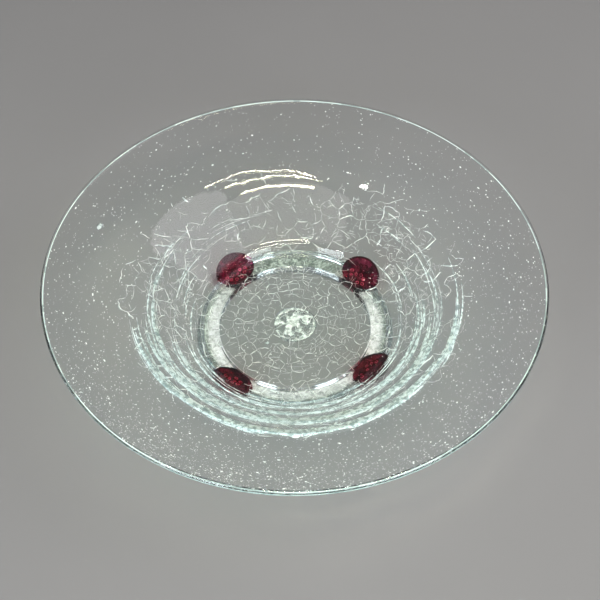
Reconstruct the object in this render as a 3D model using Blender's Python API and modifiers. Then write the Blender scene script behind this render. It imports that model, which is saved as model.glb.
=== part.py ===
"""Wide-brimmed crackle glass bowl on an applied foot ring, with four raspberry prunts and a pontil scar.

Metres, +Z up. The origin is on the bowl's axis, on the plane that the foot ring stands on, and -Y is the front.
Every piece of glass that was gathered separately is its own object, named as a glassmaker would name it.
"""

import math

import bmesh
import bpy
from mathutils import Matrix, Vector

MM = 0.001

# Overall size
RIM_RADIUS = 150.0 * MM
HEIGHT = 68.0 * MM

# Inside surface of the bowl, from the middle outwards: floor, corner arc, straight wall, neck arc, brim, lip arc
FLOOR_RADIUS = 54.0 * MM
CORNER_RADIUS = 20.0 * MM
WALL_SLOPE = math.radians(40.0)
NECK_START = 90.0 * MM
NECK_RADIUS = 80.0 * MM
BRIM_SLOPE = math.radians(24.0)
LIP_START = 130.0 * MM
RIM_SLOPE = math.radians(30.0)

# Outside surface: a flat underside and a tighter corner, so that the glass is thickest at the heel
FLOOR_THICKNESS = 6.6 * MM
HEEL_START = 52.5 * MM
HEEL_RADIUS = 14.0 * MM
WALL_THICKNESS = 3.1 * MM
RIM_THICKNESS = 3.2 * MM

# Foot ring
RING_INNER = 48.4 * MM
RING_OUTER = 61.2 * MM
RING_BASE_INNER = 50.0 * MM
RING_BASE_OUTER = 58.4 * MM
RING_EDGE_STEPS = 4
RING_LINING = 1.3 * MM

# Raspberry prunts, set by hand and so not quite a quarter turn apart. Azimuth is from +X towards +Y.
PRUNT_AZIMUTHS = {
    "prunt_back_right": 42.6,
    "prunt_back_left": 131.8,
    "prunt_front_left": 229.1,
    "prunt_front_right": 322.4,
}
PRUNT_CENTRE_RADIUS = 58.9 * MM
PRUNT_TILT = math.radians(37.0)
PRUNT_FLANGE_RADIUS = 13.4 * MM
PRUNT_STRETCH = 1.08
PRUNT_FACE_RADIUS = 9.8 * MM
PRUNT_ROOT = 9.0 * MM
PRUNT_FACE_DEPTH = 4.2 * MM
NODULE_RADIUS = 1.8 * MM
NODULE_SPACING = 3.6 * MM
NODULE_SINK = 0.35 * MM
TABLE_CLEARANCE = 0.3 * MM

# Pontil scar, the stub of glass that the punty left under the floor
SCAR_RADIUS = 14.0 * MM
SCAR_THICKNESS = 1.7 * MM
SCAR_LIP = 3.4 * MM
SCAR_ROUGHNESS = 0.35 * MM

GAP = 0.3 * MM
FULL_TURN = 2 * math.pi
BOWL_STEPS = 72
RING_STEPS = 72
HEEL_STEPS = 6
PRUNT_STEPS = 24
SCAR_STEPS = 24
MERGE = 0.01 * MM

CLEAR_GLASS = ("clear_glass", (0.86, 0.94, 0.92), 0.05)
GROUND_GLASS = ("ground_glass", (0.88, 0.93, 0.91), 0.35)
PRUNT_GLASS = ("amethyst_glass", (0.45, 0.03, 0.13), 0.08)
SCAR_GLASS = ("broken_glass", (0.88, 0.92, 0.9), 0.3)


def clear_scene():
    for obj in list(bpy.data.objects):
        bpy.data.objects.remove(obj, do_unlink=True)


def new_collection(name):
    collection = bpy.data.collections.new(name)
    bpy.context.scene.collection.children.link(collection)
    return collection


def glass(name, colour, roughness):
    material = bpy.data.materials.new(name)
    material.use_nodes = True
    shader = material.node_tree.nodes["Principled BSDF"]
    shader.inputs["Base Color"].default_value = (*colour, 1.0)
    shader.inputs["Roughness"].default_value = roughness
    shader.inputs["Metallic"].default_value = 0.0
    shader.inputs["Transmission Weight"].default_value = 1.0
    shader.inputs["IOR"].default_value = 1.5
    return material


def arc(centre, radius, start, end, steps):
    """Points of a circular arc in the (r, z) plane, both ends included."""
    angles = [start + (end - start) * i / steps for i in range(steps + 1)]
    return [(centre[0] + radius * math.cos(a), centre[1] + radius * math.sin(a)) for a in angles]


def inside_points():
    """The inside surface from the floor's edge to the rim as (r, z, slope), with the floor at z = 0."""
    points = []
    corner_steps, neck_steps, lip_steps = 6, 4, 2

    def slope_arc(r, z, radius, start, end, steps):
        """An arc that leaves (r, z) at slope start and ends at slope end: concave when the slope grows."""
        side = 1.0 if end > start else -1.0
        for i in range(1, steps + 1):
            slope = start + (end - start) * i / steps
            points.append((
                r + side * radius * (math.sin(slope) - math.sin(start)),
                z + side * radius * (math.cos(start) - math.cos(slope)),
                slope,
            ))

    points.append((FLOOR_RADIUS, 0.0, 0.0))
    slope_arc(FLOOR_RADIUS, 0.0, CORNER_RADIUS, 0.0, WALL_SLOPE, corner_steps)
    r, z, _ = points[-1]
    points.append((NECK_START, z + (NECK_START - r) * math.tan(WALL_SLOPE), WALL_SLOPE))
    r, z, _ = points[-1]
    slope_arc(r, z, NECK_RADIUS, WALL_SLOPE, BRIM_SLOPE, neck_steps)
    r, z, _ = points[-1]
    points.append((LIP_START, z + (LIP_START - r) * math.tan(BRIM_SLOPE), BRIM_SLOPE))
    r, z, _ = points[-1]
    reach = RIM_RADIUS - RIM_THICKNESS / 2 * (1 + math.sin(RIM_SLOPE)) - r
    lip_radius = reach / (math.sin(RIM_SLOPE) - math.sin(BRIM_SLOPE))
    slope_arc(r, z, lip_radius, BRIM_SLOPE, RIM_SLOPE, lip_steps)
    return points


def thickness_at(r):
    """Thickness from the neck outwards, measured square to the surface."""
    share = (r - NECK_START) / (RIM_RADIUS - NECK_START)
    return WALL_THICKNESS + (RIM_THICKNESS - WALL_THICKNESS) * share


def surfaces():
    """The bowl's inside and outside surfaces as lists of (r, z) from the floor's edge to the rim."""
    raw = inside_points()
    rim_r, rim_z, rim_slope = raw[-1]
    half = thickness_at(rim_r) / 2
    lift = HEIGHT - half - (rim_z - half * math.cos(rim_slope))
    inside = [(r, z + lift) for r, z, _ in raw]
    underside = lift - FLOOR_THICKNESS
    heel_slopes = [WALL_SLOPE * i / HEEL_STEPS for i in range(HEEL_STEPS + 1)]
    outside = [
        (HEEL_START + HEEL_RADIUS * math.sin(a), underside + HEEL_RADIUS * (1 - math.cos(a)))
        for a in heel_slopes
    ]
    outside += [
        (r + thickness_at(r) * math.sin(slope), z + lift - thickness_at(r) * math.cos(slope))
        for r, z, slope in raw
        if r > NECK_START - MERGE
    ]
    return inside, outside


def outside_height(r, outside):
    """Height of the bowl's underside at radius r."""
    if r <= outside[0][0]:
        return outside[0][1]
    for (r0, z0), (r1, z1) in zip(outside, outside[1:]):
        if r <= r1:
            return z0 + (z1 - z0) * (r - r0) / (r1 - r0)
    return outside[-1][1]


def bowl_outline(inside, outside):
    """Closed outline, clockwise: across the inside, round the rim, and back under the outside."""
    (r0, z0), (r1, z1) = inside[-1], outside[-1]
    centre = ((r0 + r1) / 2, (z0 + z1) / 2)
    half = math.hypot(r0 - r1, z0 - z1) / 2
    top = math.atan2(z0 - centre[1], r0 - centre[0])
    rim = arc(centre, half, top, top - math.pi, 6)
    return (
        [(0.0, inside[0][1])]
        + inside[:-1]
        + rim
        + outside[-2::-1]
        + [(0.0, outside[0][1])]
    )


def ring_outline(outside):
    """Closed outline, clockwise, whose top follows the bowl's underside a gap below it."""
    inner_edge = RING_BASE_INNER - RING_INNER
    outer_edge = RING_OUTER - RING_BASE_OUTER
    top_radii = [RING_INNER + (RING_OUTER - RING_INNER) * i / 4 for i in range(5)]
    top = [(r, outside_height(r, outside) - GAP) for r in top_radii]
    outer = arc((RING_BASE_OUTER, outer_edge), outer_edge, 0.0, -math.pi / 2, RING_EDGE_STEPS)
    inner = arc((RING_BASE_INNER, inner_edge), inner_edge, -math.pi / 2, -math.pi, RING_EDGE_STEPS)
    return top + outer + inner


def prunt_outline(grow=0.0, depth=PRUNT_FACE_DEPTH):
    """Half outline of a prunt's blank about its own axis, from its root at +z to its stamped face at -z."""
    flange = PRUNT_FLANGE_RADIUS + grow
    face = PRUNT_FACE_RADIUS + grow
    shoulder = [
        (
            face + (flange - face) * math.cos(math.radians(a)),
            -depth * 0.85 * math.sin(math.radians(a)),
        )
        for a in (0, 22.5, 45, 67.5, 90)
    ]
    return [(0.0, PRUNT_ROOT), (flange, PRUNT_ROOT), *shoulder, (face * 0.93, -depth), (0.0, -depth)]


def scar_outline(top):
    """Clockwise outline of the scar: a flat top, a thick lip and a hollow middle."""
    lip_inner = SCAR_RADIUS - SCAR_LIP
    bottom = top - SCAR_THICKNESS
    return [
        (0.0, top),
        (lip_inner, top),
        (SCAR_RADIUS, top),
        (SCAR_RADIUS, top - 0.35 * SCAR_THICKNESS),
        (SCAR_RADIUS - 0.4 * MM, bottom + 0.2 * SCAR_THICKNESS),
        (SCAR_RADIUS - 0.35 * SCAR_LIP, bottom),
        (lip_inner + 0.2 * SCAR_LIP, bottom + 0.15 * SCAR_THICKNESS),
        (lip_inner, top - 0.5 * SCAR_THICKNESS),
        (0.6 * lip_inner, top - 0.62 * SCAR_THICKNESS),
        (0.25 * lip_inner, top - 0.45 * SCAR_THICKNESS),
        (0.0, top - 0.7 * SCAR_THICKNESS),
    ]


def turned(name, outline, steps, collection, closed=True):
    """An object turned about its own Z from an outline of (r, z) points."""
    mesh = bpy.data.meshes.new(name)
    edges = [(i, i + 1) for i in range(len(outline) - 1)]
    if closed and outline[0][0] > MERGE:
        edges.append((len(outline) - 1, 0))
    mesh.from_pydata([(r, 0.0, z) for r, z in outline], edges, [])
    obj = bpy.data.objects.new(name, mesh)
    collection.objects.link(obj)
    screw = obj.modifiers.new("turn", "SCREW")
    screw.axis = "Z"
    screw.angle = FULL_TURN
    screw.steps = steps
    screw.render_steps = steps
    screw.use_merge_vertices = True
    screw.merge_threshold = MERGE
    screw.use_smooth_shade = True
    return obj


def boolean(obj, operation, other):
    modifier = obj.modifiers.new(other.name, "BOOLEAN")
    modifier.operation = operation
    modifier.solver = "EXACT"
    modifier.object = other
    return modifier


def as_helper(obj):
    obj.hide_render = True
    obj.display_type = "WIRE"
    return obj


def give(obj, material):
    obj.data.materials.append(material)
    return obj


def prunt_matrix(azimuth, outside):
    """Places a prunt's own frame on the underside, -z pointing down and outwards, stretched along the ring."""
    centre_height = outside_height(PRUNT_CENTRE_RADIUS, outside)
    place = Matrix.Translation(Vector((PRUNT_CENTRE_RADIUS, 0.0, centre_height)))
    lean = Matrix.Rotation(-PRUNT_TILT, 4, "Y")
    stretch = Matrix.Diagonal((1.0, PRUNT_STRETCH, 1.0, 1.0))
    return Matrix.Rotation(math.radians(azimuth), 4, "Z") @ place @ lean @ stretch


def nodule_centres():
    """Centres of the berry's nodules on the stamped face: one, then six, then twelve."""
    centres = [Vector((0.0, 0.0, 0.0))]
    for ring in (1, 2):
        count = 6 * ring
        for i in range(count):
            angle = FULL_TURN * i / count
            reach = ring * NODULE_SPACING * (1.0 if ring == 1 else 0.97)
            centres.append(Vector((reach * math.cos(angle), reach * math.sin(angle), 0.0)))
    return centres


def nodules(name, matrix, collection):
    """All the nodules of one berry as separate balls in one helper mesh."""
    mesh = bpy.data.meshes.new(name)
    balls = bmesh.new()
    outermost = 2 * NODULE_SPACING
    for centre in nodule_centres():
        drop = 0.7 * MM * (1 - (centre.length / outermost) ** 2)
        spot = centre + Vector((0.0, 0.0, -PRUNT_FACE_DEPTH + NODULE_SINK - drop))
        bmesh.ops.create_uvsphere(
            balls, u_segments=7, v_segments=5, radius=NODULE_RADIUS, matrix=Matrix.Translation(spot)
        )
    balls.to_mesh(mesh)
    balls.free()
    obj = bpy.data.objects.new(name, mesh)
    obj.matrix_world = matrix
    collection.objects.link(obj)
    return as_helper(obj)


def add_bowl_body(inside, outside, collection, material):
    body = turned("bowl_body", bowl_outline(inside, outside), BOWL_STEPS, collection)
    return give(body, material)


def add_foot_ring(outside, pockets, collection, material):
    ring = turned("foot_ring", ring_outline(outside), RING_STEPS, collection)
    for pocket in pockets:
        boolean(ring, "DIFFERENCE", pocket)
    return give(ring, material)


def add_prunt(name, matrix, cuts, collection, helpers, material):
    prunt = turned(name, prunt_outline(), PRUNT_STEPS, collection)
    prunt.matrix_world = matrix
    boolean(prunt, "UNION", nodules(f"{name}_nodules", matrix, helpers))
    for cut in cuts:
        boolean(prunt, "DIFFERENCE", cut)
    return give(prunt, material)


def add_pocket(name, matrix, lining, helpers):
    """The space that a prunt takes out of the foot ring, open below."""
    deeper = PRUNT_FACE_DEPTH + 6.0 * MM
    flange = PRUNT_FLANGE_RADIUS + GAP
    face = PRUNT_FACE_RADIUS + GAP
    outline = [
        (0.0, PRUNT_ROOT),
        (flange, PRUNT_ROOT),
        *[(r, z) for r, z in prunt_outline(grow=GAP)[2:6]],
        (face + 0.25 * MM, -deeper),
        (0.0, -deeper),
    ]
    pocket = turned(name, outline, PRUNT_STEPS, helpers)
    pocket.matrix_world = matrix
    boolean(pocket, "DIFFERENCE", lining)
    return as_helper(pocket)


def add_body_cutter(outside, helpers):
    """Everything from a gap below the bowl's underside upwards, out to beyond the prunts."""
    lowered = [(r, z - GAP) for r, z in outside if r < LIP_START]
    top = HEIGHT
    outline = [(0.0, top), (lowered[-1][0], top), *lowered[::-1], (0.0, lowered[0][1])]
    return as_helper(turned("cut_underside", outline, BOWL_STEPS, helpers))


def add_core_cutter(name, radius, helpers):
    """An upright cylinder on the bowl's axis: the ring's hollow and as much of its lining as a prunt leaves whole."""
    outline = [(0.0, HEIGHT), (radius, HEIGHT), (radius, -HEIGHT), (0.0, -HEIGHT)]
    return as_helper(turned(name, outline, RING_STEPS, helpers))


def add_table_cutter(helpers):
    """The table, raised a little, so that no nodule reaches it."""
    mesh = bpy.data.meshes.new("cut_table")
    slab = bmesh.new()
    depth = 20.0 * MM
    size = Matrix.Diagonal((2 * RIM_RADIUS, 2 * RIM_RADIUS, depth, 1.0))
    place = Matrix.Translation((0.0, 0.0, TABLE_CLEARANCE - depth / 2))
    bmesh.ops.create_cube(slab, size=1.0, matrix=place @ size)
    slab.to_mesh(mesh)
    slab.free()
    obj = bpy.data.objects.new("cut_table", mesh)
    helpers.objects.link(obj)
    return as_helper(obj)


def add_pontil_scar(outside, collection, material):
    """A turned stub whose lower side is left uneven, as broken glass is."""
    scar = turned("pontil_scar", scar_outline(outside[0][1] - GAP), SCAR_STEPS, collection)
    graph = bpy.context.evaluated_depsgraph_get()
    mesh = bpy.data.meshes.new_from_object(scar.evaluated_get(graph))
    top = max(vertex.co.z for vertex in mesh.vertices)
    for vertex in mesh.vertices:
        x, y, z = vertex.co / MM
        if vertex.co.z < top - 0.2 * SCAR_THICKNESS:
            swell = math.sin(0.9 * x + 0.4 * y) * math.cos(0.7 * y - 0.3 * x) + 0.5 * math.sin(1.9 * y + x)
            vertex.co.z += SCAR_ROUGHNESS * swell / 1.5
    scar.modifiers.clear()
    scar.data = mesh
    return give(scar, material)


def main():
    clear_scene()
    bowl = new_collection("art_glass_bowl")
    helpers = new_collection("cutters")
    clear, ground = glass(*CLEAR_GLASS), glass(*GROUND_GLASS)
    amethyst, broken = glass(*PRUNT_GLASS), glass(*SCAR_GLASS)

    inside, outside = surfaces()
    add_bowl_body(inside, outside, bowl, clear)
    lining = add_core_cutter("cut_lining", RING_INNER + RING_LINING, helpers)
    core = add_core_cutter("cut_core", RING_INNER + RING_LINING + GAP, helpers)
    cuts = [add_body_cutter(outside, helpers), core, add_table_cutter(helpers)]
    pockets = []
    for name, azimuth in PRUNT_AZIMUTHS.items():
        matrix = prunt_matrix(azimuth, outside)
        add_prunt(name, matrix, cuts, bowl, helpers, amethyst)
        pockets.append(add_pocket(f"pocket_{name}", matrix, lining, helpers))
    add_foot_ring(outside, pockets, bowl, ground)
    add_pontil_scar(outside, bowl, broken)
    bpy.context.view_layer.update()


main()
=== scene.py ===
"""Looks of the art glass bowl: clear bubbled glass, crackled well, ground foot ring, raspberry prunts."""

import bisect
import math
import random

import bmesh
import bpy
from mathutils import Matrix, Vector, geometry, noise


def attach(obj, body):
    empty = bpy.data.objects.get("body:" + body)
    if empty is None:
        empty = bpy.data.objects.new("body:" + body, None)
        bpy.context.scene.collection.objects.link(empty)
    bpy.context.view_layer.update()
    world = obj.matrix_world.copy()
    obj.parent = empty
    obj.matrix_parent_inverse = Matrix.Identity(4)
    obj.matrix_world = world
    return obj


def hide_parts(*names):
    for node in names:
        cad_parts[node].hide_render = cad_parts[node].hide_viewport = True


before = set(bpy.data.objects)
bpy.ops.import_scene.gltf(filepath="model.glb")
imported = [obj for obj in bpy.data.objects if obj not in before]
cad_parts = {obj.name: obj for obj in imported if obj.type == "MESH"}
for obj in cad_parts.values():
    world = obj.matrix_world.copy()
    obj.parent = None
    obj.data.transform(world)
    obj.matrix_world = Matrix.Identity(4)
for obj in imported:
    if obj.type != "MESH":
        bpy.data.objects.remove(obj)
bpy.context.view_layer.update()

MM = 0.001
TURN = 2 * math.pi

# ---------------------------------------------------------------- the bowl's profile, as in the CAD
RIM_RADIUS = 150.0 * MM
HEIGHT = 68.0 * MM
FLOOR_RADIUS = 54.0 * MM
CORNER_RADIUS = 20.0 * MM
WALL_SLOPE = math.radians(40.0)
NECK_START = 90.0 * MM
NECK_RADIUS = 80.0 * MM
BRIM_SLOPE = math.radians(24.0)
LIP_START = 130.0 * MM
RIM_SLOPE = math.radians(30.0)
FLOOR_THICKNESS = 6.6 * MM
HEEL_START = 52.5 * MM
HEEL_RADIUS = 14.0 * MM
WALL_THICKNESS = 3.1 * MM
RIM_THICKNESS = 3.2 * MM

RING_INNER = 48.4 * MM
RING_OUTER = 61.2 * MM
RING_BASE_INNER = 50.0 * MM
RING_BASE_OUTER = 58.4 * MM
RING_LINING = 1.3 * MM
FUSED = 0.04 * MM

PRUNTS = {
    "prunt_back_right": 42.6,
    "prunt_back_left": 131.8,
    "prunt_front_left": 229.1,
    "prunt_front_right": 322.4,
}
PRUNT_CENTRE_RADIUS = 58.9 * MM
PRUNT_TILT = math.radians(37.0)
PRUNT_FLANGE = 13.4 * MM
PRUNT_STRETCH = 1.08
PRUNT_FACE = 9.8 * MM
PRUNT_DEPTH = 4.2 * MM
PRUNT_MIDDLE = 60.2 * MM
PRUNT_ACROSS = 11.2 * MM
PRUNT_ALONG = 14.2 * MM

SCAR_RADIUS = 14.0 * MM
SCAR_THICKNESS = 1.7 * MM


def slope_run(r, z, radius, start, end, steps):
    """An arc that leaves (r, z) at slope start and reaches slope end."""
    side = 1.0 if end > start else -1.0
    run = []
    for i in range(1, steps + 1):
        slope = start + (end - start) * i / steps
        run.append((
            r + side * radius * (math.sin(slope) - math.sin(start)),
            z + side * radius * (math.cos(start) - math.cos(slope)),
            slope,
        ))
    return run


def straight_run(r, z, slope, r_end, steps):
    return [
        (r + (r_end - r) * i / steps, z + (r_end - r) * i / steps * math.tan(slope), slope)
        for i in range(1, steps + 1)
    ]


def thickness_at(r):
    """Thickness from the neck outwards."""
    share = (r - NECK_START) / (RIM_RADIUS - NECK_START)
    return WALL_THICKNESS + (RIM_THICKNESS - WALL_THICKNESS) * share


def inside_curve():
    """The inside surface from the axis to the rim's start, as (r, z, slope)."""
    curve = [(FLOOR_RADIUS * i / 24, 0.0, 0.0) for i in range(25)]
    curve += slope_run(*curve[-1][:2], CORNER_RADIUS, 0.0, WALL_SLOPE, 16)
    curve += straight_run(*curve[-1][:2], WALL_SLOPE, NECK_START, 18)
    curve += slope_run(*curve[-1][:2], NECK_RADIUS, WALL_SLOPE, BRIM_SLOPE, 12)
    curve += straight_run(*curve[-1][:2], BRIM_SLOPE, LIP_START, 16)
    r, z, _ = curve[-1]
    reach = RIM_RADIUS - RIM_THICKNESS / 2 * (1 + math.sin(RIM_SLOPE)) - r
    lip_radius = reach / (math.sin(RIM_SLOPE) - math.sin(BRIM_SLOPE))
    curve += slope_run(r, z, lip_radius, BRIM_SLOPE, RIM_SLOPE, 12)
    r, z, slope = curve[-1]
    half = thickness_at(r) / 2
    lift = HEIGHT - half - (z - half * math.cos(slope))
    return [(r, z + lift, slope) for r, z, slope in curve]


def outside_curve(inside):
    """The outside surface from the axis to the rim's start, as (r, z)."""
    underside = inside[0][1] - FLOOR_THICKNESS
    curve = [(HEEL_START * i / 24, underside) for i in range(25)]
    curve += [(r, z) for r, z, _ in slope_run(HEEL_START, underside, HEEL_RADIUS, 0.0, WALL_SLOPE, 12)]
    upper = [
        (r + thickness_at(r) * math.sin(slope), z - thickness_at(r) * math.cos(slope))
        for r, z, slope in inside
        if r > NECK_START - 1e-6
    ]
    (r0, z0), (r1, z1) = curve[-1], upper[0]
    curve += [(r0 + (r1 - r0) * i / 16, z0 + (z1 - z0) * i / 16) for i in range(1, 16)]
    return curve + upper


INSIDE = inside_curve()
OUTSIDE = outside_curve(INSIDE)


def outside_height(r):
    for (r0, z0), (r1, z1) in zip(OUTSIDE, OUTSIDE[1:]):
        if r <= r1:
            return z0 + (z1 - z0) * (r - r0) / (r1 - r0)
    return OUTSIDE[-1][1]


def across_wall(r, z, slope):
    """Thickness of the glass square to the inside surface at (r, z)."""
    low, high = 0.0, 15.0 * MM
    for _ in range(30):
        t = (low + high) / 2
        if z - t * math.cos(slope) > outside_height(r + t * math.sin(slope)):
            low = t
        else:
            high = t
    return low


THICKNESSES = [across_wall(*row) for row in INSIDE]


def running_lengths():
    """Length along the inside surface from the axis to each of its points."""
    total, out = 0.0, [0.0]
    for a, b in zip(INSIDE, INSIDE[1:]):
        total += math.hypot(b[0] - a[0], b[1] - a[1])
        out.append(total)
    return out


LENGTHS = running_lengths()


def sway(point):
    """The slow unevenness of hand work: nothing near the foot ring, about half a millimetre at the rim."""
    r = math.hypot(point.x, point.y)
    angle = math.atan2(point.y, point.x)
    share = max(0.0, (r - 0.066) / 0.084) ** 1.5
    dip = 0.5 + 0.3 * math.cos(2 * angle + 0.8) + 0.2 * math.cos(3 * angle - 1.1)
    away_from_rim = min(max((0.148 - r) / 0.01, 0.0), 1.0) * min(share * 4, 1.0)
    ripple = 0.2 * MM * noise.noise(point * 22) * away_from_rim
    inward = 1.0 - share * 0.0012 * (0.5 + 0.5 * math.cos(angle * 2 - 0.6))
    return Vector((point.x * inward, point.y * inward, point.z - share * 0.55 * MM * dip + ripple))


def in_wall(length, azimuth, depth):
    """The point in the glass at a length out along the inside surface and a depth below it."""
    length = min(max(length, 0.0), LENGTHS[-1] - 1e-7)
    i = bisect.bisect_right(LENGTHS, length) - 1
    k = (length - LENGTHS[i]) / (LENGTHS[i + 1] - LENGTHS[i])
    r, z, slope = (p + (q - p) * k for p, q in zip(INSIDE[i], INSIDE[i + 1]))
    depth = min(depth, 0.93 * (THICKNESSES[i] + (THICKNESSES[i + 1] - THICKNESSES[i]) * k))
    r, z = r + depth * math.sin(slope), z - depth * math.cos(slope)
    return sway(Vector((r * math.cos(azimuth), r * math.sin(azimuth), z)))


def length_at(r):
    """Length along the inside surface out to radius r."""
    for i, (a, b) in enumerate(zip(INSIDE, INSIDE[1:])):
        if r <= b[0]:
            return LENGTHS[i] + (LENGTHS[i + 1] - LENGTHS[i]) * (r - a[0]) / (b[0] - a[0])
    return LENGTHS[-1]


# ---------------------------------------------------------------- node helpers

def new_material(name):
    material = bpy.data.materials.new(name)
    material.use_nodes = True
    material.node_tree.nodes.clear()
    return material, material.node_tree


def node(tree, kind, **inputs):
    made = tree.nodes.new(kind)
    for key, value in inputs.items():
        made.inputs[key.replace("_", " ")].default_value = value
    return made


def ramp(tree, source, stops):
    made = tree.nodes.new("ShaderNodeValToRGB")
    elements = made.color_ramp.elements
    while len(elements) < len(stops):
        elements.new(0.5)
    for element, (position, colour) in zip(elements, stops):
        element.position = position
        element.color = (*colour, 1.0) if isinstance(colour, tuple) else (colour, colour, colour, 1.0)
    tree.links.new(source, made.inputs["Fac"])
    return made.outputs["Color"]


def object_noise(tree, scale, detail=3.0, stretch=(1.0, 1.0, 1.0), distortion=0.0):
    coordinates = tree.nodes.new("ShaderNodeTexCoord")
    mapping = tree.nodes.new("ShaderNodeMapping")
    mapping.inputs["Scale"].default_value = stretch
    tree.links.new(coordinates.outputs["Object"], mapping.inputs["Vector"])
    made = node(tree, "ShaderNodeTexNoise", Scale=scale, Detail=detail, Distortion=distortion)
    tree.links.new(mapping.outputs["Vector"], made.inputs["Vector"])
    return made.outputs["Fac"]


def map_range(tree, source, low, high):
    made = tree.nodes.new("ShaderNodeMapRange")
    made.inputs["From Min"].default_value = low
    made.inputs["From Max"].default_value = high
    tree.links.new(source, made.inputs["Value"])
    return made.outputs["Result"]


def maximum(tree, first, second):
    larger = tree.nodes.new("ShaderNodeMath")
    larger.operation = "MAXIMUM"
    tree.links.new(first, larger.inputs[0])
    tree.links.new(second, larger.inputs[1])
    return larger.outputs["Value"]


def fine_lines(tree, source, pitch):
    """Lines that repeat each time the source grows by a full turn divided by pitch."""
    scaled = tree.nodes.new("ShaderNodeMath")
    scaled.operation = "MULTIPLY"
    scaled.inputs[1].default_value = pitch
    tree.links.new(source, scaled.inputs[0])
    wave = tree.nodes.new("ShaderNodeMath")
    wave.operation = "SINE"
    tree.links.new(scaled.outputs["Value"], wave.inputs[0])
    return map_range(tree, wave.outputs["Value"], -1.0, 1.0)


def bump(tree, height, strength, distance, normal=None):
    made = node(tree, "ShaderNodeBump", Strength=strength, Distance=distance)
    tree.links.new(height, made.inputs["Height"])
    if normal is not None:
        tree.links.new(normal, made.inputs["Normal"])
    return made.outputs["Normal"]


def glass_shader(tree, base, roughness=0.0, transmission=1.0, ior=1.5):
    shader = tree.nodes.new("ShaderNodeBsdfPrincipled")
    shader.inputs["Base Color"].default_value = (*base, 1.0)
    shader.inputs["Roughness"].default_value = roughness
    shader.inputs["Transmission Weight"].default_value = transmission
    shader.inputs["IOR"].default_value = ior
    return shader


def let_light_through(tree, shader, tint):
    """Glass casts a light, tinted shadow in place of a black one."""
    output = tree.nodes.new("ShaderNodeOutputMaterial")
    path = tree.nodes.new("ShaderNodeLightPath")
    clear = tree.nodes.new("ShaderNodeBsdfTransparent")
    clear.inputs["Color"].default_value = (*tint, 1.0)
    mix = tree.nodes.new("ShaderNodeMixShader")
    tree.links.new(path.outputs["Is Shadow Ray"], mix.inputs["Fac"])
    tree.links.new(shader.outputs["BSDF"], mix.inputs[1])
    tree.links.new(clear.outputs["BSDF"], mix.inputs[2])
    tree.links.new(mix.outputs["Shader"], output.inputs["Surface"])
    return output


def absorb(tree, output, colour, density):
    volume = tree.nodes.new("ShaderNodeVolumeAbsorption")
    volume.inputs["Color"].default_value = (*colour, 1.0)
    volume.inputs["Density"].default_value = density
    tree.links.new(volume.outputs["Volume"], output.inputs["Volume"])


# ---------------------------------------------------------------- materials

def clear_glass():
    """Blue-green tinted glass with the soft ripple of hand work."""
    material, tree = new_material("clear_glass")
    shader = glass_shader(tree, (1.0, 1.0, 1.0))
    tints = [(0.3, (0.98, 0.989, 0.987)), (0.7, (1.0, 1.0, 1.0))]
    colour = ramp(tree, object_noise(tree, 30.0, 2.0), tints)
    tree.links.new(colour, shader.inputs["Base Color"])
    ripple = bump(tree, object_noise(tree, 60.0, 2.0, distortion=0.4), 0.32, 0.0006)
    fine = bump(tree, object_noise(tree, 260.0, 2.0), 0.06, 0.0002, ripple)
    tree.links.new(fine, shader.inputs["Normal"])
    output = let_light_through(tree, shader, (0.584, 0.6, 0.60))
    absorb(tree, output, (0.0, 0.68, 0.66), 7.0)
    return material


def ring_glass():
    """The ring's own glass: the body's tint, drawn into fine threads round the bowl."""
    material, tree = new_material("ring_glass")
    shader = glass_shader(tree, (0.97, 1.0, 0.99), 0.05)
    streaks = object_noise(tree, 90.0, 3.0, (1.0, 1.0, 6.0))
    tree.links.new(bump(tree, streaks, 0.4, 0.0004), shader.inputs["Normal"])
    output = let_light_through(tree, shader, (0.77, 0.78, 0.778))
    absorb(tree, output, (0.0, 0.70, 0.62), 3.0)
    return material


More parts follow.
